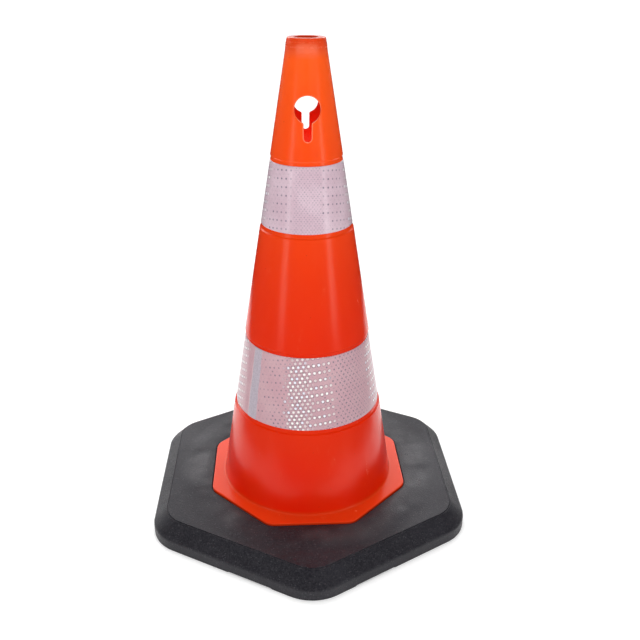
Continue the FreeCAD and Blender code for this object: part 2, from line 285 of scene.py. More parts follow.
def wall_rows(inset):
    """Lathe rows (radius, height) of one side of the wall, in three stretches round the keyhole."""
    patch_top = (cone_radius(PATCH_HIGH) - inset, PATCH_HIGH)
    patch = [(cone_radius(z) - inset, z) for z in map(patch_height, range(PATCH_ROWS + 1))]
    recesses = recess("upper", inset) + recess("lower", inset)
    corners = [patch[-1]] + recesses
    radii = [0] + [RECESS_EDGE] * len(recesses)
    if inset:
        lip = [(BORE + 0.01, LIP_LOW), (cone_radius(LIP_LOW) - inset, LIP_LOW)]
        above = rounded(lip + [patch_top], [0, 1.0, 0])
        below = rounded(corners + [(cone_radius(FLANGE_LOW) - inset, FLANGE_LOW)], radii + [0])
    else:
        collar = [(LIP_MIDDLE, HEIGHT), (TIP_RADIUS, HEIGHT),
                  (cone_radius(COLLAR_MID) + COLLAR_PROUD, COLLAR_MID),
                  (cone_radius(COLLAR_LOW), COLLAR_LOW)]
        above = rounded(collar + [patch_top], [0, 1.6, 1.2, 1.2, 0])
        foot = [(cone_radius(FLANGE_TOP), FLANGE_TOP), (FLANGE_HALF - 10.0, FLANGE_TOP)]
        below = rounded(corners + foot, radii + [FLANGE_FILLET, 0], steps=5)
    return above, patch, below


def key_outline():
    """Right half of the keyhole, from its top to its bottom, as (x, z) with outward normals."""
    out = []
    centre_x = KEY_HALF + KEY_CORNER
    centre_z = KEY_Z - math.sqrt((KEY_R + KEY_CORNER) ** 2 - centre_x ** 2)
    meet = math.atan2(centre_x, centre_z - KEY_Z)
    for k in range(ROUND_STEPS):
        a = meet * k / ROUND_STEPS
        out.append((KEY_R * math.sin(a), KEY_Z + KEY_R * math.cos(a), math.sin(a), math.cos(a)))
    first = meet - math.pi
    for k in range(CORNER_STEPS):
        a = first + (-math.pi / 2 - first) * k / CORNER_STEPS
        out.append((centre_x + KEY_CORNER * math.sin(a), centre_z + KEY_CORNER * math.cos(a),
                    -math.sin(a), -math.cos(a)))
    low = KEY_BOTTOM + KEY_HALF
    for k in range(SLOT_STEPS):
        out.append((KEY_HALF, centre_z + (low - centre_z) * k / SLOT_STEPS, 1.0, 0.0))
    for k in range(END_STEPS + 1):
        a = math.pi / 2 * (1 + k / END_STEPS)
        out.append((KEY_HALF * math.sin(a), low + KEY_HALF * math.cos(a), math.sin(a), math.cos(a)))
    return out


def full_key():
    """The whole keyhole outline, clockwise from its top."""
    half = key_outline()
    left = [(-x, z, -nx, nz) for x, z, nx, nz in half[-2:0:-1]]
    return half + left


def patch_border():
    """(column offset, row) pairs round the patch, clockwise from the top middle."""
    n, m = PATCH_COLUMNS, PATCH_ROWS
    border = [(i, 0) for i in range(n)]
    border += [(n, j) for j in range(m)]
    border += [(i, m) for i in range(n, -n, -1)]
    border += [(-n, j) for j in range(m, 0, -1)]
    border += [(i, 0) for i in range(-n, 0)]
    return border


def keyhole_patch(mesh, rows, column, inset):
    """Rings from the lathe grid in to the keyhole's edge; gives the innermost ring."""
    turn = column_angle(column)
    outline = full_key()
    border = patch_border()

    def place(a, z):
        r = cone_radius(z) - inset
        return (r * math.cos(turn + a), r * math.sin(turn + a), z)

    edge = []
    for x, z, nx, nz in outline:
        edge_z = z + nz * KEY_SOFT
        edge.append((math.asin((x + nx * KEY_SOFT) / (cone_radius(edge_z) - inset)), edge_z))
    rings = [[rows[j][(column + i) % COLUMNS] for i, j in border]]
    for t in PATCH_SPACING:
        points = []
        for (i, j), (a, z) in zip(border, edge):
            a0, z0 = column_angle(i), patch_height(j)
            points.append(place(a0 + (a - a0) * t, z0 + (z - z0) * t))
        rings.append(mesh.ring(points))
    towards = Vector((math.cos(turn), math.sin(turn), 0))
    across = Vector((-math.sin(turn), math.cos(turn), 0))
    into_wall = towards * (KEY_SOFT if inset else -KEY_SOFT)
    for t in EDGE_SPACING:
        points = []
        for (x, z, _, _), (a, edge_z) in zip(outline, edge):
            r = cone_radius(z) - inset
            sharp = towards * math.sqrt(r * r - x * x) + across * x + Vector((0, 0, z))
            start = Vector(place(a, edge_z))
            end = sharp + into_wall
            points.append(tuple(start * (1 - t) ** 2 + sharp * 2 * t * (1 - t) + end * t ** 2))
        rings.append(mesh.ring(points))
        # The outer rounded edge round the keyhole gets a painted highlight.
        if not inset and t < 1.0:
            mesh.rim_highlight.update(dict.fromkeys(rings[-1], 1.0))
    mesh.chain(rings)
    return rings[-1]


def make_shell(material):
    """The hollow orange moulding: wall, keyholes, lip, bore, octagonal flange and tongues."""
    mesh = Mesh()
    cut_columns = set()
    for column in (FRONT, BACK):
        cut_columns |= {(column + i) % COLUMNS for i in range(-PATCH_COLUMNS, PATCH_COLUMNS)}
    tops, feet, keyholes = [], [], []
    for inset in (0.0, WALL):
        above, patch, below = wall_rows(inset)
        rings = [circle_ring(mesh, r, z) for r, z in above[:-1]]
        rows = [circle_ring(mesh, r, z) for r, z in patch]
        tail = [circle_ring(mesh, r, z) for r, z in below[1:]]
        mesh.chain(rings + rows[:1])
        for a, b in zip(rows, rows[1:]):
            mesh.bridge(a, b, cut_columns)
        mesh.chain(rows[-1:] + tail)
        tops.append(rings[0])
        feet.append(tail[-1])
        keyholes.append([keyhole_patch(mesh, rows, column, inset) for column in (FRONT, BACK)])
    for outer, inner in zip(*keyholes):
        mesh.bridge(outer, inner)

    bore = rounded([(LIP_MIDDLE, HEIGHT), (BORE, HEIGHT), (BORE, LIP_LOW)], [0, 0.8, 0])
    mesh.chain(tops[:1] + [circle_ring(mesh, r, z) for r, z in bore[1:]] + tops[1:])

    def octagon(inset, z):
        """One ring of the flange."""
        points = []
        for i in range(COLUMNS):
            a = column_angle(i)
            r = polygon_radius(a, 8, math.radians(22.5), FLANGE_HALF - inset, FLANGE_CORNER - inset)
            points.append((r * math.cos(a), r * math.sin(a), z))
        return mesh.ring(points)

    edge = rounded([(4.0, FLANGE_TOP), (0.0, FLANGE_TOP), (0.0, FLANGE_LOW), (8.0, FLANGE_LOW)],
                   [0, 1.5, 0.4, 0])
    mesh.chain(feet[:1] + [octagon(inset, z) for inset, z in edge] + feet[1:])
    make_tongues(mesh)
    mesh.build("orange_shell", material, "cone_body")


def make_tongues(mesh):
    """Hooked tongues under the flange, each a section swept part of the way round."""
    root = FLANGE_LOW + 0.5
    section = [(TONGUE_INNER, root), (TONGUE_OUTER, root), (TONGUE_OUTER, HOOK_TOP), (HOOK, HOOK_TOP),
               (HOOK, HOOK_LOW), (TONGUE_OUTER, TONGUE_LOW), (TONGUE_INNER, TONGUE_LOW)]
    spread = TONGUE_WIDTH / 2 / TONGUE_OUTER
    for k in range(TONGUES):
        middle = 2 * math.pi * k / TONGUES
        rows = []
        for i in range(-6, 7):
            a = middle + spread * i / 6
            rows.append(mesh.ring([(r * math.cos(a), r * math.sin(a), z) for r, z in section]))
        mesh.chain(rows)
        mesh.faces.append(tuple(rows[0]))
        mesh.faces.append(tuple(reversed(rows[-1])))


# ------------------------------------------------------------------ black base

BASE_COLUMNS = 480


def in_notch(a):
    """Whether a direction meets a notch; each runs from a side's middle towards one corner."""
    step = math.pi / 3
    local = (a + math.pi / 2) % (2 * step)
    if local > step:
        local = 2 * step - local
    along = BASE_HALF * math.tan(step / 2 - local)
    return 0.0 <= along <= NOTCH_LENGTH


def make_base(material):
    """The black weight, as one closed chain of rings from the underside round to the hole."""
    mesh = Mesh()
    angles = [2 * math.pi * i / BASE_COLUMNS for i in range(BASE_COLUMNS)]

    def hexagon(inset, z, notched=True):
        """One ring of the rounded hexagon; its lowest rings rise over the notches."""
        points = []
        for a in angles:
            r = polygon_radius(a, 6, -math.pi / 2, BASE_HALF - inset, max(BASE_CORNER - inset, 1.0))
            height = max(z, NOTCH_HIGH + 0.02 * z) if notched and in_notch(a) else z
            points.append((r * math.cos(a), r * math.sin(a), height))
        return mesh.ring(points)

    def octagon(outset, z):
        """One ring of the seat, outside the flange's own outline."""
        points = []
        for a in angles:
            r = polygon_radius(a, 8, math.radians(22.5), FLANGE_HALF + outset, FLANGE_CORNER + outset)
            points.append((r * math.cos(a), r * math.sin(a), z))
        return mesh.ring(points)

    def circle(r, z):
        return mesh.ring([(r * math.cos(a), r * math.sin(a), z) for a in angles])

    side = rounded([(8.0, 0.0), (0.0, 0.0), (0.0, BASE_UPRIGHT), (CREST - 1.1, BASE_TOP - 1.05),
                    (CREST, BASE_TOP - CREST_GROOVE), (CREST + 1.2, BASE_TOP), (BORDER, BASE_TOP)],
                   [0, 0.8, 7.0, 0.4, 0.3, 0.4, 0], steps=6, guard=0.15)
    lip = rounded([(3.0, BASE_TOP), (0.0, BASE_TOP), (0.0, FLANGE_LOW), (-6.0, FLANGE_LOW)],
                  [0, 0.35, 0.3, 0])
    hole = rounded([(HOLE + 5.0, FLANGE_LOW), (HOLE, FLANGE_LOW), (HOLE, LEDGE_LOW),
                    (UNDERSIDE, LEDGE_LOW), (UNDERSIDE, 0.0), (UNDERSIDE + 7.0, 0.0)],
                   [0, 0.5, 0.5, 2.0, 0.8, 0])
    rings = [hexagon(NOTCH_DEEP + 0.5, 0.0, notched=False), hexagon(NOTCH_DEEP, 0.0)]
    rings += [hexagon(inset, z) for inset, z in side]
    seat = [octagon(SEAT_GAP + outset, z) for outset, z in lip]
    border = rings[-1]
    for k in range(1, 6):
        rings.append(mesh.ring([tuple(Vector(mesh.points[p]).lerp(Vector(mesh.points[q]), k / 6))
                                for p, q in zip(border, seat[0])]))
    rings += seat + [circle(r, z) for r, z in hole]
    mesh.chain(rings + rings[:1])
    mesh.build("rubber_base", material, "weighted_base")


# ------------------------------------------------------------------ reflective sleeves

SLANT = math.sin(math.atan(TAPER))
SHEET_COLUMNS = 279
LAP_COLUMNS = 10
SHEET_ROWS = 24
SHEET_EDGE = 0.18
LAP_SHIFT = 1.7


def make_sleeve(which, material, pattern_middle):
    """A strip round the recess; its end is lapped over its start.

    The sheet is laid out flat from the pattern's middle, and its pattern jumps at the lap.
    """
    part = SLEEVES[which]
    low, high = part["span"]
    lap_start, lap_end = (math.radians(a) for a in part["lap"])
    lap_width = lap_end - lap_start
    middle = math.radians(pattern_middle)
    clear = math.radians(0.12)
    once_round = 2 * math.pi - lap_width - 2 * clear
    columns = [(lap_end + clear + once_round * i / SHEET_COLUMNS, 0.0)
               for i in range(SHEET_COLUMNS + 1)]
    columns += [(lap_start + lap_width * i / LAP_COLUMNS + 2 * math.pi, SHEET)
                for i in range(LAP_COLUMNS + 1)]
    mesh = Mesh()

    def row(z, outward, lifted=0.0):
        """One ring; outward is its distance from the recess, lifted how much of the lap it takes."""
        points = []
        places = []
        for a, lift in columns:
            r = cone_radius(z) - part["depth"] + GLUE + outward + lift * lifted
            points.append((r * math.cos(a), r * math.sin(a), z))
            slant = cone_radius(z) / SLANT
            psi = ((a - middle + math.pi) % (2 * math.pi) - math.pi) * SLANT
            shift = LAP_SHIFT if lift else 0.0
            places.append((slant * math.sin(psi) * MM, (slant * math.cos(psi) + shift) * MM))
        ring = mesh.ring(points)
        mesh.uvs.update(zip(ring, places))
        return ring

    rings = [row(low, 0.0), row(low, SHEET - SHEET_EDGE, 1.0), row(low + SHEET_EDGE, SHEET, 1.0)]
    for k in range(1, SHEET_ROWS):
        rings.append(row(low + (high - low) * k / SHEET_ROWS, SHEET, 1.0))
    rings += [row(high - SHEET_EDGE, SHEET, 1.0), row(high, SHEET - SHEET_EDGE, 1.0), row(high, 0.0)]
    mesh.chain(rings + rings[:1])
    mesh.build(f"sheeting_{which}", material, f"reflective_sleeve_{which}")


# ------------------------------------------------------------------ materials

class Graph:
    """Short names for building one material's node tree.

    Places are in metres, so a pattern's scale is about how many of its cells fit in a metre.
    """

    def __init__(self, name):
        self.material = bpy.data.materials.new(name)
        self.material.use_nodes = True
        self.tree = self.material.node_tree
        self.shader = self.tree.nodes["Principled BSDF"]

    def node(self, kind, **settings):
        node = self.tree.nodes.new(kind)
        for key, setting in settings.items():
            setattr(node, key, setting)
        return node

    def link(self, source, target):
        """Gives a socket a plain value or another node's output."""
        if isinstance(source, (int, float, tuple)):
            target.default_value = source
        else:
            self.tree.links.new(source, target)

    def math(self, operation, a, b=0.0, c=0.0):
        node = self.node("ShaderNodeMath", operation=operation)
        for source, target in zip((a, b, c), node.inputs):
            self.link(source, target)
        return node.outputs[0]

    def times(self, a, b):
        return self.math("MULTIPLY", a, b)

    def plus(self, a, b):
        return self.math("ADD", a, b)

    def minus(self, a, b):
        return self.math("SUBTRACT", a, b)

    def coords(self, scale=(1.0, 1.0, 1.0)):
        """Places on the object, in metres, stretched by a scale along each axis."""
        mapping = self.node("ShaderNodeMapping")
        mapping.inputs["Scale"].default_value = scale
        self.link(self.node("ShaderNodeTexCoord").outputs["Object"], mapping.inputs["Vector"])
        return mapping.outputs[0]

    def split(self, vector):
        """A vector's three coordinates."""
        node = self.node("ShaderNodeSeparateXYZ")
        self.link(vector, node.inputs[0])
        return tuple(node.outputs)

    def noise(self, vector, scale, detail=3.0, rough=0.5):
        node = self.node("ShaderNodeTexNoise")
        self.link(vector, node.inputs["Vector"])
        node.inputs["Scale"].default_value = scale
        node.inputs["Detail"].default_value = detail
        node.inputs["Roughness"].default_value = rough
        return node.outputs["Fac"]

    def voronoi(self, vector, scale):
        node = self.node("ShaderNodeTexVoronoi")
        self.link(vector, node.inputs["Vector"])
        node.inputs["Scale"].default_value = scale
        return node

    def speckle(self, vector, scale):
        """A random number for each cell of a Voronoi pattern."""
        channels = self.node("ShaderNodeSeparateColor")
        self.link(self.voronoi(vector, scale).outputs["Color"], channels.inputs[0])
        return channels.outputs[0]

    def ramp(self, value, low, high, out_low=0.0, out_high=1.0, smooth=True):
        node = self.node("ShaderNodeMapRange",
                         interpolation_type="SMOOTHSTEP" if smooth else "LINEAR")
        for source, key in ((value, "Value"), (low, "From Min"), (high, "From Max"),
                            (out_low, "To Min"), (out_high, "To Max")):
            self.link(source, node.inputs[key])
        return node.outputs[0]

    def mix(self, factor, a, b):
        """A blend of two colours; the node has sockets of the same names for other types."""
        node = self.node("ShaderNodeMix", data_type="RGBA")
        self.link(factor, node.inputs["Factor"])
        for key, source in (("A", a), ("B", b)):
            socket = next(s for s in node.inputs if s.name == key and s.type == "RGBA")
            self.link(source, socket)
        return next(s for s in node.outputs if s.type == "RGBA")

    def bump(self, height, strength, distance, normal=None):
        node = self.node("ShaderNodeBump")
        node.inputs["Strength"].default_value = strength
        node.inputs["Distance"].default_value = distance
        self.link(height, node.inputs["Height"])
        if normal is not None:
            self.link(normal, node.inputs["Normal"])
        return node.outputs[0]

    def set(self, **values):
        """Sets the shader's sockets, named with underscores."""
        for key, source in values.items():
            self.link(source, self.shader.inputs[key.replace("_", " ")])


def rgb(r, g, b):
    """A colour in linear values."""
    return (r, g, b, 1.0)


def from_axis(g, x, y):
    """Distance from the object's upright axis."""
    return g.math("SQRT", g.plus(g.times(x, x), g.times(y, y)))


def recessed(g, z):
    """1 at the heights of the sleeves' recesses, where the outside lies deeper."""
    total = 0.0
    for part in SLEEVES.values():
        low, high = part["span"]
        low = (low - RECESS_BELOW - RECESS_BEVEL) * MM
        high = (high + RECESS_ABOVE + RECESS_BEVEL) * MM
        inside = g.times(g.ramp(z, low - 0.0002, low), g.ramp(z, high + 0.0002, high))
        total = g.plus(total, inside)
    return total


def inner_wall(g, z, away):
    """1 on the shell's inner side, which lies deeper than the plain cone's surface."""
    surface = g.minus((TIP_RADIUS + HEIGHT * TAPER) * MM, g.times(z, TAPER))
    deep = g.ramp(g.minus(surface, away), 0.0012, 0.0018)
    below_lip = g.ramp(z, 0.7455, 0.7445)
    return g.times(g.times(deep, below_lip), g.minus(1.0, recessed(g, z)))


def orange_material():
    """Glossy orange plastic with scuffs and specks, and painted light: paler towards the top, painted
    highlights under the collar and on the keyhole's rim, and painted shade inside.
    """
    g = Graph("orange_polyethylene")
    where = g.coords()
    x, y, z = g.split(where)
    away = from_axis(g, x, y)
    broad = g.noise(where, 9.0, 3.0)
    fine = g.noise(where, 260.0, 4.0, 0.6)
    drawn = g.noise(g.coords((1.0, 1.0, 0.05)), 130.0, 3.0, 0.6)
    specks = g.ramp(g.voronoi(where, 55.0).outputs["Distance"], 0.035, 0.02)

    scuff = g.ramp(g.noise(g.coords((1.0, 1.0, 0.25)), 46.0, 6.0, 0.7), 0.60, 0.72)
    hoops = g.ramp(g.noise(g.coords((0.1, 0.1, 3.0)), 110.0, 2.0), 0.45, 0.60)
    on_collar = g.times(g.ramp(z, 0.722, 0.738), hoops)
    scuff = g.math("MAXIMUM", scuff, g.times(on_collar, 0.8))

    # Painted highlight: a pale band just under the collar, strongest at the front and back, standing
    # in for a soft light's reflection there.
    highlight_front_back = g.ramp(g.math("DIVIDE", g.math("ABSOLUTE", y), away), 0.78, 1.0, 0.22, 1.0)
    collar_highlight = g.times(g.ramp(z, 0.722, 0.733), g.ramp(z, 0.750, 0.738))
    patchy = g.ramp(g.noise(g.coords((1.0, 1.0, 4.0)), 30.0, 3.0, 0.6), 0.20, 0.55)
    collar_highlight = g.times(g.times(collar_highlight, patchy), highlight_front_back)

    # Colour: painted light by height from the flange up, then marks, the collar, the painted
    # highlights under the collar and on the keyhole's rim, and painted shade on the inner side.
    # Painted light and shade: the flange has its own lit tone, the cone just above it a deeper red,
    # and the cone pales towards the top, standing in for how the light falls.
    above_flange = g.ramp(z, 0.0435, 0.050)
    shade = g.mix(above_flange, rgb(0.72, 0.040, 0.0055), rgb(0.79, 0.0142, 0.0010))
    shade = g.mix(g.ramp(z, 0.09, 0.17), shade, rgb(0.73, 0.0210, 0.0010))
    shade = g.mix(g.ramp(z, 0.30, 0.78), shade, rgb(0.94, 0.104, 0.012))
    shade = g.mix(g.times(g.ramp(broad, 0.35, 0.68), 0.20), shade, rgb(0.80, 0.040, 0.0025))
    shade = g.mix(g.times(scuff, 0.10), shade, rgb(0.90, 0.20, 0.09))
    shade = g.mix(g.times(specks, 0.7), shade, rgb(0.16, 0.02, 0.01))
    shade = g.mix(g.ramp(z, 0.720, 0.743, 0.0, 0.78), shade, rgb(0.66, 0.040, 0.0065))
    # The painted highlight under the collar.
    shade = g.mix(g.times(collar_highlight, 0.38), shade, rgb(0.90, 0.24, 0.13))
    # Painted highlight: a pale line along the keyhole's rounded rim.
    lightened = g.node("ShaderNodeAttribute", attribute_name=RIM_HIGHLIGHT).outputs["Fac"]
    shade = g.mix(g.times(lightened, 0.50), shade, rgb(0.95, 0.33, 0.19))
    # Painted shade: the shell's inner side is a deeper, darker red, standing in for the shade inside
    # the hollow cone.
    shade = g.mix(inner_wall(g, z, away), shade, rgb(0.70, 0.034, 0.013))

    rough = g.ramp(fine, 0.3, 0.7, 0.17, 0.22)
    rough = g.plus(rough, g.times(scuff, 0.08))
    rough = g.plus(rough, g.times(g.ramp(drawn, 0.35, 0.65), 0.03))
    height = g.plus(g.plus(g.times(fine, 0.08), g.times(drawn, 0.15)), broad)
    g.set(Base_Color=shade, Roughness=rough, Normal=g.bump(height, 0.25, 0.0006))
    g.set(IOR=1.5, Specular_IOR_Level=0.30, Specular_Tint=rgb(1.0, 0.92, 0.76))
    g.set(Subsurface_Weight=0.12, Subsurface_Radius=(1.0, 0.10, 0.02), Subsurface_Scale=0.003)
    return g.material


def rubber_material():
    """Black recycled rubber: grain, light flecks, soft dents and lighter, glossier patches round the
    seat.
    """
    g = Graph("black_recycled_rubber")
    where = g.coords()
    x, y, _ = g.split(where)
    away = from_axis(g, x, y)
    ring = g.times(g.ramp(away, 0.160, 0.180), g.ramp(away, 0.228, 0.195))
    cloud = g.noise(where, 7.5, 3.0, 0.55)
    # Lighter, less rough patches in a ring round the seat.
    lightened = g.times(ring, g.ramp(g.noise(where, 13.0, 2.0, 0.5), 0.46, 0.66))
    pebble = g.ramp(g.speckle(where, 640.0), 0.20, 1.0, smooth=False)
    flecks = g.ramp(g.speckle(where, 800.0), 0.965, 0.975)

    patch = g.ramp(cloud, 0.50, 0.68)
    shade = g.mix(patch, rgb(0.0102, 0.0095, 0.0132), rgb(0.016, 0.0152, 0.020))
    shade = g.mix(g.times(lightened, 0.8), shade, rgb(0.045, 0.045, 0.049))
    shade = g.mix(g.times(pebble, 0.75), shade, rgb(0.036, 0.035, 0.040))
    shade = g.mix(g.times(flecks, 0.5), shade, rgb(0.085, 0.085, 0.092))

    rough = g.minus(g.ramp(cloud, 0.35, 0.70, 0.55, 0.45), g.times(lightened, 0.10))
    rough = g.plus(rough, g.times(g.minus(pebble, 0.4), 0.22))
    sinks = g.times(g.noise(where, 17.0, 1.0), g.plus(ring, 0.20))
    dents = g.bump(sinks, 1.0, 0.0045)
    grain = g.voronoi(where, 520.0).outputs["Distance"]
    grit = g.noise(where, 900.0, 2.0, 0.6)
    height = g.plus(g.times(grain, 0.6), g.times(grit, 0.6))
    g.set(Base_Color=shade, Roughness=rough, Normal=g.bump(height, 0.6, 0.0006, dents))
    g.set(IOR=1.5, Specular_IOR_Level=0.35, Specular_Tint=rgb(0.97, 0.95, 1.0))
    return g.material


# Per sleeve: the sheet's two tones, and the zones where its dots are bright, dark or fine, in
# degrees round from the front, as (rise start, rise end, fall start, fall end). The dots of the
# second grid, which lie between those of the first, have zones of their own.
# The dot grid is the sheet's own pattern; which dots are bright or dark by zone is painted light,
# standing in for glints and dark reflections of the cells.
SHEETS = {
    "upper": {
        "tones": ((0.60, 0.43, 0.50), (0.68, 0.52, 0.59)),
        "bright": ((-92, -84, -72, -62), (62, 70, 84, 92), (118, 126, 140, 148),
                   (-148, -140, -126, -118)),
        "between": (),
        "dark": ((-64, -50, -27, -20), (20, 27, 50, 64), (150, 158, 170, 178),
                 (-178, -170, -158, -150)),
        "dark_between": (),
        "fine": ((-21, -17, 17, 21), (94, 98, 112, 116), (-116, -112, -98, -94)),
    },
    "lower": {
        "tones": ((0.585, 0.345, 0.385), (0.625, 0.395, 0.43)),
        "bright": ((-92, -84, -72, -63), (-21, -14, 15, 23), (57, 66, 84, 92),
                   (128, 136, 160, 170), (-168, -160, -136, -126)),
        "between": ((-21, -14, -3, 3), (128, 136, 148, 154), (-168, -160, -152, -146)),
        "dark": ((-46, -32, -23, -15), (16, 22, 34, 60), (96, 104, 118, 126),
                 (-124, -116, -104, -94)),
        "dark_between": ((14, 22, 44, 62), (-29, -25, -22, -17)),
        "fine": ((18, 30, 52, 62), (104, 112, 122, 130)),
    },
}

# Spacing of the cells across and along the sheet, in millimetres, and how square the dots are.
MAIN_PITCH = (7.95, 12.0)
FINE_PITCH = (4.8, 6.0)
DOT_POWER = 2.6


def grid_cells(g, u, v, pitch, shift):
    """Distance in mm from a grid's nearest point, by a squarish measure, and its random number."""
    middle = 500.0 + shift
    a = g.plus(g.math("DIVIDE", u, pitch[0] * MM), middle)
    b = g.plus(g.math("DIVIDE", v, pitch[1] * MM), middle)
    da = g.times(g.minus(g.math("FRACT", a), 0.5), pitch[0])
    db = g.times(g.minus(g.math("FRACT", b), 0.5), pitch[1])
    powers = (g.math("POWER", g.math("ABSOLUTE", d), DOT_POWER) for d in (da, db))
    far = g.math("POWER", g.plus(*powers), 1 / DOT_POWER)
    cell = g.node("ShaderNodeCombineXYZ")
    g.link(g.math("FLOOR", a), cell.inputs[0])
    g.link(g.math("FLOOR", b), cell.inputs[1])
    cell.inputs[2].default_value = shift
    random = g.node("ShaderNodeTexWhiteNoise", noise_dimensions="3D")
    g.link(cell.outputs[0], random.inputs["Vector"])
    return far, random.outputs["Value"]


def dot(g, far, radius, soft):
    """1 inside a dot, from its distance."""
    return g.ramp(far, radius + soft, radius - soft)


def in_zones(g, turn, zones, random, jitter=7.0):
    """How far a direction is inside the zones, with each dot's own offset."""
    local = g.plus(turn, g.times(g.minus(random, 0.5), jitter))
    total = 0.0
    for rise, full, fall, end in zones:
        total = g.plus(total, g.times(g.ramp(local, rise, full), g.ramp(local, end, fall)))
    return total


def lap_strip(g, where, turn, lap):
    """1 on the plain strip along the sheet's lap, with ragged edges."""
    start, end = lap
    wander = g.times(g.noise(where, 60.0, 3.0, 0.7), 2.4)
    from_middle = g.minus(turn, (start + end) / 2 + 90.0)
    along = g.math("WRAP", from_middle, 180.0, -180.0)
    reach = g.plus(g.math("ABSOLUTE", along), wander)
    half = (end - start) / 2
    return g.ramp(reach, half + 1.3, half + 0.7)


def sheeting_material(which):
    """Pink prismatic sheeting: staggered cells whose bright and dark dots by zone are painted glints
    and painted shade, with fine cells.
    """
    sheet = SHEETS[which]
    g = Graph(f"prismatic_sheeting_{which}")
    u, v, _ = g.split(g.node("ShaderNodeUVMap", uv_map=SHEET_MAP).outputs[0])
    where = g.coords()
    x, y, _ = g.split(where)
    turn = g.times(g.math("ARCTAN2", x, g.times(y, -1.0)), 180 / math.pi)
    main, main_random = grid_cells(g, u, v, MAIN_PITCH, 0.0)
    second, second_random = grid_cells(g, u, v, MAIN_PITCH, 0.5)
    fine = 0.0
    for shift in (0.0, 0.5):
        far, random = grid_cells(g, u, v, FINE_PITCH, shift)
        mark = g.times(dot(g, far, 0.85, 0.55), g.ramp(random, 0.0, 0.7, 0.45, 1.0))
        fine = g.math("MAXIMUM", fine, mark)

    # Tone, mottling and the fine cells, faint all round and darker in their zones, where that dark is
    # painted shade.
    low, high = (rgb(*tone) for tone in sheet["tones"])
    shade = g.mix(g.ramp(g.noise(where, 24.0, 4.0, 0.6), 0.32, 0.68), low, high)
    mottle = g.times(g.ramp(g.noise(where, 700.0, 2.0), 0.42, 0.66), 0.22)
    shade = g.mix(mottle, shade, rgb(0.38, 0.28, 0.34))
    fine_here = g.plus(g.times(in_zones(g, turn, sheet["fine"], 0.5), 0.48), 0.08)
    shade = g.mix(g.times(fine, fine_here), shade, rgb(0.25, 0.22, 0.27))

    # Dark dots, faint all round and stronger in their zones, where they are painted shade.
    for far, random, name in ((main, main_random, "dark"), (second, second_random, "dark_between")):
        here = g.plus(g.times(in_zones(g, turn, sheet[name], random, 14.0), 0.80), 0.12)
        here = g.times(here, g.ramp(random, 0.0, 1.0, 0.65, 1.0))
        shade = g.mix(g.times(dot(g, far, 1.35, 0.55), here), shade, rgb(0.17, 0.15, 0.20))

    # Bright dots in their zones are painted glints, each in a broken halo of painted shade; some have
    # a tan middle.
    bright = 0.0
    broken = g.ramp(g.noise(where, 600.0, 2.0, 0.6), 0.42, 0.60, 0.15, 1.0)
    for far, random, name in ((main, main_random, "bright"), (second, second_random, "between")):
        here = g.times(in_zones(g, turn, sheet[name], random), g.ramp(random, 0.05, 0.60, 0.60, 1.0))
        halo = g.times(g.times(dot(g, far, 3.3, 0.7), g.times(here, 0.95)), broken)
        shade = g.mix(halo, shade, rgb(0.15, 0.11, 0.14))
        here = g.times(dot(g, far, 2.0, 0.60), here)
        cool = g.mix(g.ramp(random, 0.70, 0.95), rgb(0.96, 0.94, 0.93), rgb(0.84, 0.86, 0.95))
        shade = g.mix(here, shade, cool)
        tan = g.times(g.ramp(random, 0.30, 0.15), g.times(here, dot(g, far, 0.8, 0.5)))
        shade = g.mix(tan, shade, rgb(0.62, 0.47, 0.42))
        bright = g.math("MAXIMUM", bright, here)

    weave = g.ramp(g.noise(where, 420.0, 2.0), 0.35, 0.65)
    plain = g.mix(weave, rgb(0.44, 0.38, 0.44), rgb(0.52, 0.46, 0.52))
    shade = g.mix(lap_strip(g, where, turn, SLEEVES[which]["lap"]), shade, plain)

    rough = g.ramp(g.noise(where, 180.0, 3.0), 0.3, 0.7, 0.34, 0.46)
    height = g.plus(g.times(bright, 0.6), g.times(fine, -0.25))
    height = g.plus(height, g.times(g.noise(where, 30.0, 2.0), 1.2))
    g.set(Base_Color=shade, Roughness=rough, Normal=g.bump(height, 0.5, 0.0004))
    g.set(Specular_IOR_Level=0.25, Coat_Weight=0.5, Coat_Roughness=0.12)
    return g.material


def floor_material():
    """Nearly white floor, slightly bright by itself, so that it meets the pale background."""
    g = Graph("pale_floor")
    tone = g.ramp(g.noise(g.coords(), 1.2, 2.0), 0.3, 0.7)
    g.set(Base_Color=g.mix(tone, rgb(0.88, 0.88, 0.88), rgb(0.90, 0.90, 0.90)), Roughness=0.9)
    g.set(Emission_Color=rgb(1.0, 1.0, 1.0), Emission_Strength=0.22, Specular_IOR_Level=0.1)
    return g.material


def flag_material():
    """Dull black, for the ring that reflections see."""
    g = Graph("black_cloth")
    g.set(Base_Color=rgb(0.012, 0.012, 0.013), Roughness=0.95, Specular_IOR_Level=0.05)
    return g.material


# ------------------------------------------------------------------ scene

# Sizes and places from here on are in metres, except where millimetres are named.
FLOOR_REACH = 40.0
FLAG_REACH = 30.0
FLAG_COLUMNS = 192


def make_floor():
    mesh = bpy.data.meshes.new("floor")
    corners = [(-1, -1), (1, -1), (1, 1), (-1, 1)]
    mesh.from_pydata([(FLOOR_REACH * x, FLOOR_REACH * y, 0) for x, y in corners], [], [(0, 1, 2, 3)])
    mesh.materials.append(floor_material())
    floor = add_object("floor", mesh)


def smooth(t):
    """0 to 1 with level ends."""
    t = max(0.0, min(1.0, t))
    return t * t * (3.0 - 2.0 * t)


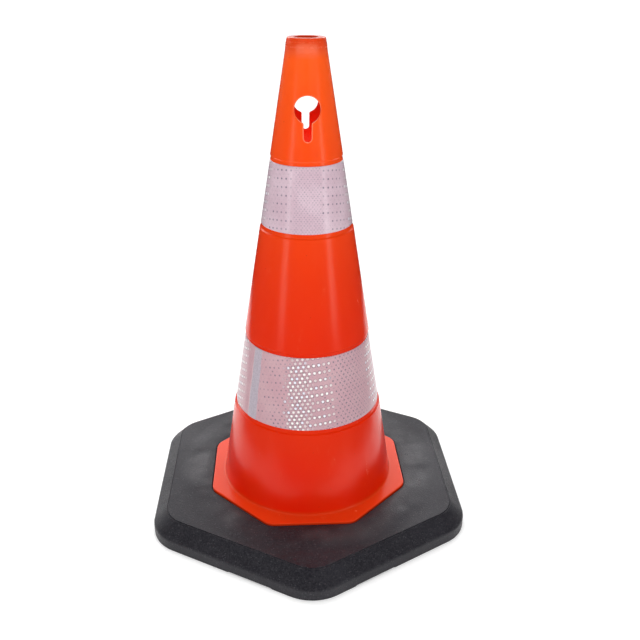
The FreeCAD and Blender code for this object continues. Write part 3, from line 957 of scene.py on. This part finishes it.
def lit_reach(a):
    """How far out the floor looks lit in a direction, in millimetres, seen in reflections.

    It ends along a straight line in front, at a circle at the sides and further off behind, and
    reaches a little further under the side lights.
    """
    front, side, behind = 385.0, 455.0, 1070.0
    under_lights, spread, sheen = 47.0, 17.0, 70.0
    bearing = math.degrees(math.acos(-math.sin(a)))
    reach = min(front / max(-math.sin(a), 0.01), side)
    reach += (behind - side) * smooth((math.sin(a) - 0.1) / 0.75)
    return reach + sheen * smooth(1.0 - abs(bearing - under_lights) / spread)


def make_flag():
    """A black ring flat on the floor, seen by reflections only: the floor beyond its lit part."""
    count = FLAG_COLUMNS
    angles = [2 * math.pi * i / count for i in range(count)]
    reaches = [lit_reach(a) * MM for a in angles] + [FLAG_REACH] * count
    points = [(r * math.cos(a), r * math.sin(a), 0.001) for a, r in zip(angles * 2, reaches)]
    faces = [(i, (i + 1) % count, count + (i + 1) % count, count + i) for i in range(count)]
    mesh = bpy.data.meshes.new("black_flag")
    mesh.from_pydata(points, [], faces)
    mesh.materials.append(flag_material())
    flag = add_object("black_flag", mesh)
    flag.visible_camera = False
    flag.visible_diffuse = False
    flag.visible_shadow = False
    flag.visible_transmission = False
    flag.visible_volume_scatter = False


def area_light(name, place, target, width, height, radiance, glossy=True):
    """A rectangular light that faces a target and that the camera doesn't see."""
    data = bpy.data.lights.new(name, "AREA")
    data.shape = "RECTANGLE"
    data.size, data.size_y = width, height
    data.energy = radiance * math.pi * width * height
    light = add_object(name, data)
    light.location = place
    light.rotation_euler = (Vector(target) - Vector(place)).to_track_quat("-Z", "Y").to_euler()
    light.visible_camera = False
    light.visible_glossy = glossy


def round_position(bearing, distance, height):
    """A place on a circle round the object; bearing 0 is in front, positive to the right."""
    a = math.radians(bearing)
    return (distance * math.sin(a), -distance * math.cos(a), height)


def make_lights():
    """Upright strips at the sides, soft fills, an overhead glow and a faint glow in the shell."""
    middle = (0.0, 0.0, 0.40)
    # Name, bearing in degrees, width and radiance.
    strips = (("edge", 46.5, 0.10, 4.6), ("strip", 52.0, 0.30, 2.4))
    strip_length, fill_size = 0.95, 1.5
    for side, name in ((-1, "left"), (1, "right")):
        for part, bearing, width, radiance in strips:
            place = round_position(side * bearing, 2.1, 0.50)
            area_light(f"{part}_{name}", place, middle, width, strip_length, radiance)
        place = round_position(side * 28.0, 2.2, 1.35)
        area_light(f"fill_{name}", place, middle, fill_size, fill_size, 2.15, glossy=False)

    sky = bpy.data.lights.new("sky_glow", "SUN")
    sky.energy = 2.0
    sky.angle = math.radians(60)
    glow = add_object("sky_glow", sky)
    glow.rotation_euler = (math.radians(-12), 0.0, 0.0)
    glow.visible_glossy = False

    inside = bpy.data.lights.new("inside_glow", "POINT")
    inside.energy = 0.108
    inside.color = (1.0, 0.6, 0.45)
    inside.shadow_soft_size = 0.015
    lamp = add_object("inside_glow", inside)
    lamp.location = (0.0, 0.0, 0.56)
    lamp.visible_camera = False
    lamp.visible_glossy = False


def make_world():
    """Dim room with a pale wall behind the object; plain and pale where the camera sees it."""
    world = bpy.data.worlds.new("studio")
    world.use_nodes = True
    tree = world.node_tree
    background = tree.nodes["Background"]
    background.inputs["Color"].default_value = rgb(1.0, 1.0, 1.0)

    def ramp(source, low, high, out_low, out_high):
        node = tree.nodes.new("ShaderNodeMapRange")
        node.interpolation_type = "SMOOTHSTEP"
        for key, setting in (("From Min", low), ("From Max", high), ("To Min", out_low),
                             ("To Max", out_high)):
            node.inputs[key].default_value = setting
        tree.links.new(source, node.inputs["Value"])
        return node.outputs[0]

    def multiply_add(a, b, c):
        node = tree.nodes.new("ShaderNodeMath")
        node.operation = "MULTIPLY_ADD"
        for source, target in zip((a, b, c), node.inputs):
            if isinstance(source, float):
                target.default_value = source
            else:
                tree.links.new(source, target)
        return node.outputs[0]

    split = tree.nodes.new("ShaderNodeSeparateXYZ")
    where = tree.nodes.new("ShaderNodeTexCoord").outputs["Generated"]
    tree.links.new(where, split.inputs[0])
    x, y, z = split.outputs
    behind = ramp(multiply_add(x, -0.17, y), 0.3, 0.8, 0.0, 3.1)
    low = ramp(z, 0.46, 0.78, 1.0, 0.0)
    above = ramp(z, 0.04, 0.30, 0.0, 1.0)
    room = multiply_add(multiply_add(behind, low, 0.0), above, 0.05)
    rays = tree.nodes.new("ShaderNodeLightPath")
    strength = multiply_add(rays.outputs["Is Camera Ray"], 1.0, room)
    tree.links.new(strength, background.inputs["Strength"])
    bpy.context.scene.world = world


def make_camera():
    """The photo's view: close, a little above the cone's top, looking down at it."""
    place = (-0.0396, -1.1347, 0.8478)
    data = bpy.data.cameras.new("camera")
    data.sensor_width = 36.0
    data.lens = 43.73
    data.clip_start = 0.05
    data.clip_end = 200.0
    heading, pitch, roll = (math.radians(a) for a in (3.053, -24.953, 0.289))
    forward = Vector((math.sin(heading) * math.cos(pitch), math.cos(heading) * math.cos(pitch),
                      math.sin(pitch)))
    level_right = Vector((math.cos(heading), -math.sin(heading), 0.0))
    level_up = level_right.cross(forward)
    right = level_right * math.cos(roll) + level_up * math.sin(roll)
    up = level_up * math.cos(roll) - level_right * math.sin(roll)
    basis = Matrix((right, up, -forward)).transposed().to_4x4()
    camera = add_object("camera", data)
    camera.matrix_world = Matrix.Translation(place) @ basis
    bpy.context.scene.camera = camera


make_camera()
make_world()
make_floor()
make_flag()
make_lights()
make_shell(orange_material())
make_base(rubber_material())
make_sleeve("upper", sheeting_material("upper"), -95.0)
make_sleeve("lower", sheeting_material("lower"), -53.0)

view = bpy.context.scene.view_settings
view.view_transform = "Standard"
view.look = "None"
